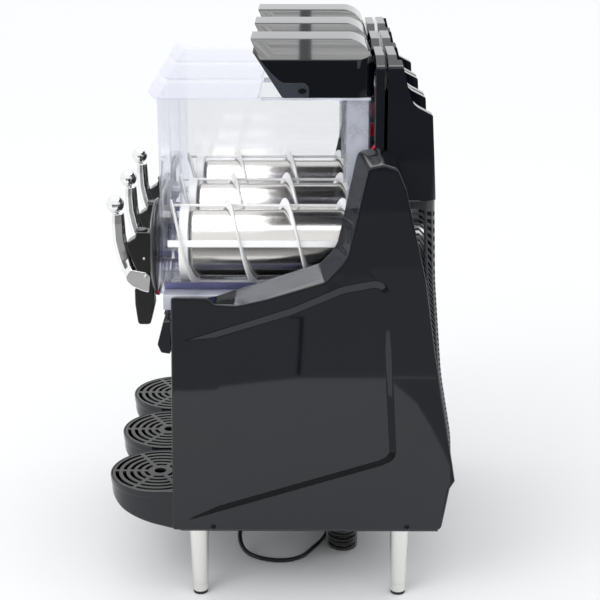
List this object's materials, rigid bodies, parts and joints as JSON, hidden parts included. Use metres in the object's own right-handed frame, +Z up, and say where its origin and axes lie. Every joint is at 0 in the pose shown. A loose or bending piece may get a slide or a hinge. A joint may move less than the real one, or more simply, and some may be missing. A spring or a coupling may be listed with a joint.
{
  "type": "slushie machine",
  "caption": "Countertop frozen drink dispenser: clear bowls with augers and lever taps on a dark cabinet with drip trays and tapered legs.",
  "frame": {"origin": "on the floor, under the middle of the machine's width and depth", "axes": "+Z up, -Y the front with the taps and drip trays, +X to the right bowl's side"},
  "size_m": [0.54, 0.5161, 0.831],
  "materials": {
    "body_plastic": "glossy dark slate moulding",
    "hood_plastic": "polished near-black moulding",
    "flap_plastic": "satin dark grey moulding",
    "clear_plastic": "clear polycarbonate with a blue-violet edge",
    "white_plastic": "food-safe white moulding",
    "black_plastic": "satin black moulding",
    "grey_plastic": "satin light grey moulding",
    "red_plastic": "red moulding",
    "chrome": "polished chrome",
    "leg_steel": "fine turned stainless steel",
    "stainless": "brushed stainless steel",
    "screw_steel": "dark domed screw heads",
    "painted_steel": "black powder coat",
    "motor_metal": "cast",
    "compressor_paint": "black enamel",
    "fin_aluminium": "bare fins",
    "foot_rubber": "black rubber",
    "seal_rubber": "grey silicone",
    "cord_rubber": "black rubber sheath"
  },
  "bodies": {
    "cabinet": {"side_panel_right": "body_plastic", "side_panel_left": "body_plastic", "panel_screws": "screw_steel", "base_pan": "painted_steel", "legs": "leg_steel", "levelling_feet": "foot_rubber", "front_deck": "painted_steel", "control_console": "body_plastic", "rear_grille": "painted_steel", "column_fronts": "body_plastic", "rear_towers": "body_plastic", "bowl_catches": "red_plastic", "evaporators": "stainless", "bowl_gaskets": "seal_rubber", "gearmotors": "motor_metal", "compressor": "compressor_paint", "condenser": "fin_aluminium", "fan_motor": "motor_metal", "electronics_box": "painted_steel", "cable_gland": "black_plastic", "power_cord": "cord_rubber", "cord_hank": "cord_rubber", "plug": "cord_rubber"},
    "fan": {"condenser_fan": "black_plastic"},
    "bowl_unit_right": {"bowl_right": "clear_plastic", "tap_body_right": "black_plastic"},
    "lid_unit_right": {"lid_right": "hood_plastic", "front_cover_right": "clear_plastic"},
    "flap_right": {"refill_flap_right": "flap_plastic"},
    "auger_unit_right": {"auger_right": "white_plastic"},
    "piston_right": {"tap_piston_right": "grey_plastic"},
    "lever_right": {"tap_lever_right": "chrome", "lever_knob_right": "chrome"},
    "tray_right": {"drip_tray_right": "body_plastic"},
    "tray_grille_right": {"drip_grille_right": "grey_plastic"},
    "switch_right": {"mode_switch_right": "black_plastic"},
    "bowl_unit_centre": {"bowl_centre": "clear_plastic", "tap_body_centre": "black_plastic"},
    "lid_unit_centre": {"lid_centre": "hood_plastic", "front_cover_centre": "clear_plastic"},
    "flap_centre": {"refill_flap_centre": "flap_plastic"},
    "auger_unit_centre": {"auger_centre": "white_plastic"},
    "piston_centre": {"tap_piston_centre": "grey_plastic"},
    "lever_centre": {"tap_lever_centre": "chrome", "lever_knob_centre": "chrome"},
    "tray_centre": {"drip_tray_centre": "body_plastic"},
    "tray_grille_centre": {"drip_grille_centre": "grey_plastic"},
    "switch_centre": {"mode_switch_centre": "black_plastic"},
    "bowl_unit_left": {"bowl_left": "clear_plastic", "tap_body_left": "black_plastic"},
    "lid_unit_left": {"lid_left": "hood_plastic", "front_cover_left": "clear_plastic"},
    "flap_left": {"refill_flap_left": "flap_plastic"},
    "auger_unit_left": {"auger_left": "white_plastic"},
    "piston_left": {"tap_piston_left": "grey_plastic"},
    "lever_left": {"tap_lever_left": "chrome", "lever_knob_left": "chrome"},
    "tray_left": {"drip_tray_left": "body_plastic"},
    "tray_grille_left": {"drip_grille_left": "grey_plastic"},
    "switch_left": {"mode_switch_left": "black_plastic"}
  },
  "joints": [
    {"name": "fan_spin", "type": "hinge", "parent": "cabinet", "child": "fan", "pos_m": [0.12, 0.108, 0.235], "axis": [0, 1, 0], "continuous": true},
    {"name": "bowl_slide_right", "type": "slide", "parent": "cabinet", "child": "bowl_unit_right", "axis": [0, -1, 0], "range_m": [0, 0.29]},
    {"name": "lid_lift_right", "type": "slide", "parent": "bowl_unit_right", "child": "lid_unit_right", "axis": [0, 0, 1], "range_m": [0, 0.12]},
    {"name": "flap_tilt_right", "type": "hinge", "parent": "lid_unit_right", "child": "flap_right", "pos_m": [0.16, 0.0356, 0.7671], "axis": [1, 0, 0], "range_deg": [0, 18]},
    {"name": "auger_spin_right", "type": "hinge", "parent": "cabinet", "child": "auger_unit_right", "pos_m": [0.16, 0, 0.53], "axis": [0, 1, 0], "continuous": true},
    {"name": "lever_pull_right", "type": "hinge", "parent": "bowl_unit_right", "child": "lever_right", "pos_m": [0.16, -0.192, 0.484], "axis": [1, 0, 0], "range_deg": [0, 25], "stiffness_Nm_per_rad": 1.5, "springref_deg": -11.46},
    {"name": "piston_lift_right", "type": "slide", "parent": "bowl_unit_right", "child": "piston_right", "axis": [0, 0, 1], "range_m": [0, 0.0115]},
    {"name": "tray_slide_right", "type": "slide", "parent": "cabinet", "child": "tray_right", "axis": [0, -1, 0], "range_m": [0, 0.12]},
    {"name": "grille_lift_right", "type": "slide", "parent": "tray_right", "child": "tray_grille_right", "axis": [0, 0, 1], "range_m": [0, 0.1]},
    {"name": "switch_rock_right", "type": "hinge", "parent": "cabinet", "child": "switch_right", "pos_m": [0.16, -0.1645, 0.427], "axis": [1, 0, 0], "range_deg": [-8, 8]},
    {"name": "bowl_slide_centre", "type": "slide", "parent": "cabinet", "child": "bowl_unit_centre", "axis": [0, -1, 0], "range_m": [0, 0.29]},
    {"name": "lid_lift_centre", "type": "slide", "parent": "bowl_unit_centre", "child": "lid_unit_centre", "axis": [0, 0, 1], "range_m": [0, 0.12]},
    {"name": "flap_tilt_centre", "type": "hinge", "parent": "lid_unit_centre", "child": "flap_centre", "pos_m": [0, 0.0356, 0.7671], "axis": [1, 0, 0], "range_deg": [0, 18]},
    {"name": "auger_spin_centre", "type": "hinge", "parent": "cabinet", "child": "auger_unit_centre", "pos_m": [0, 0, 0.53], "axis": [0, 1, 0], "continuous": true},
    {"name": "lever_pull_centre", "type": "hinge", "parent": "bowl_unit_centre", "child": "lever_centre", "pos_m": [0, -0.192, 0.484], "axis": [1, 0, 0], "range_deg": [0, 25], "stiffness_Nm_per_rad": 1.5, "springref_deg": -11.46},
    {"name": "piston_lift_centre", "type": "slide", "parent": "bowl_unit_centre", "child": "piston_centre", "axis": [0, 0, 1], "range_m": [0, 0.0115]},
    {"name": "tray_slide_centre", "type": "slide", "parent": "cabinet", "child": "tray_centre", "axis": [0, -1, 0], "range_m": [0, 0.12]},
    {"name": "grille_lift_centre", "type": "slide", "parent": "tray_centre", "child": "tray_grille_centre", "axis": [0, 0, 1], "range_m": [0, 0.1]},
    {"name": "switch_rock_centre", "type": "hinge", "parent": "cabinet", "child": "switch_centre", "pos_m": [0, -0.1645, 0.427], "axis": [1, 0, 0], "range_deg": [-8, 8]},
    {"name": "bowl_slide_left", "type": "slide", "parent": "cabinet", "child": "bowl_unit_left", "axis": [0, -1, 0], "range_m": [0, 0.29]},
    {"name": "lid_lift_left", "type": "slide", "parent": "bowl_unit_left", "child": "lid_unit_left", "axis": [0, 0, 1], "range_m": [0, 0.12]},
    {"name": "flap_tilt_left", "type": "hinge", "parent": "lid_unit_left", "child": "flap_left", "pos_m": [-0.16, 0.0356, 0.7671], "axis": [1, 0, 0], "range_deg": [0, 18]},
    {"name": "auger_spin_left", "type": "hinge", "parent": "cabinet", "child": "auger_unit_left", "pos_m": [-0.16, 0, 0.53], "axis": [0, 1, 0], "continuous": true},
    {"name": "lever_pull_left", "type": "hinge", "parent": "bowl_unit_left", "child": "lever_left", "pos_m": [-0.16, -0.192, 0.484], "axis": [1, 0, 0], "range_deg": [0, 25], "stiffness_Nm_per_rad": 1.5, "springref_deg": -11.46},
    {"name": "piston_lift_left", "type": "slide", "parent": "bowl_unit_left", "child": "piston_left", "axis": [0, 0, 1], "range_m": [0, 0.0115]},
    {"name": "tray_slide_left", "type": "slide", "parent": "cabinet", "child": "tray_left", "axis": [0, -1, 0], "range_m": [0, 0.12]},
    {"name": "grille_lift_left", "type": "slide", "parent": "tray_left", "child": "tray_grille_left", "axis": [0, 0, 1], "range_m": [0, 0.1]},
    {"name": "switch_rock_left", "type": "hinge", "parent": "cabinet", "child": "switch_left", "pos_m": [-0.16, -0.1645, 0.427], "axis": [1, 0, 0], "range_deg": [-8, 8]}
  ],
  "couplings": [
    {"joint": "piston_lift_right", "follows": "lever_pull_right", "m_per_rad": 0.026},
    {"joint": "piston_lift_centre", "follows": "lever_pull_centre", "m_per_rad": 0.026},
    {"joint": "piston_lift_left", "follows": "lever_pull_left", "m_per_rad": 0.026}
  ]
}
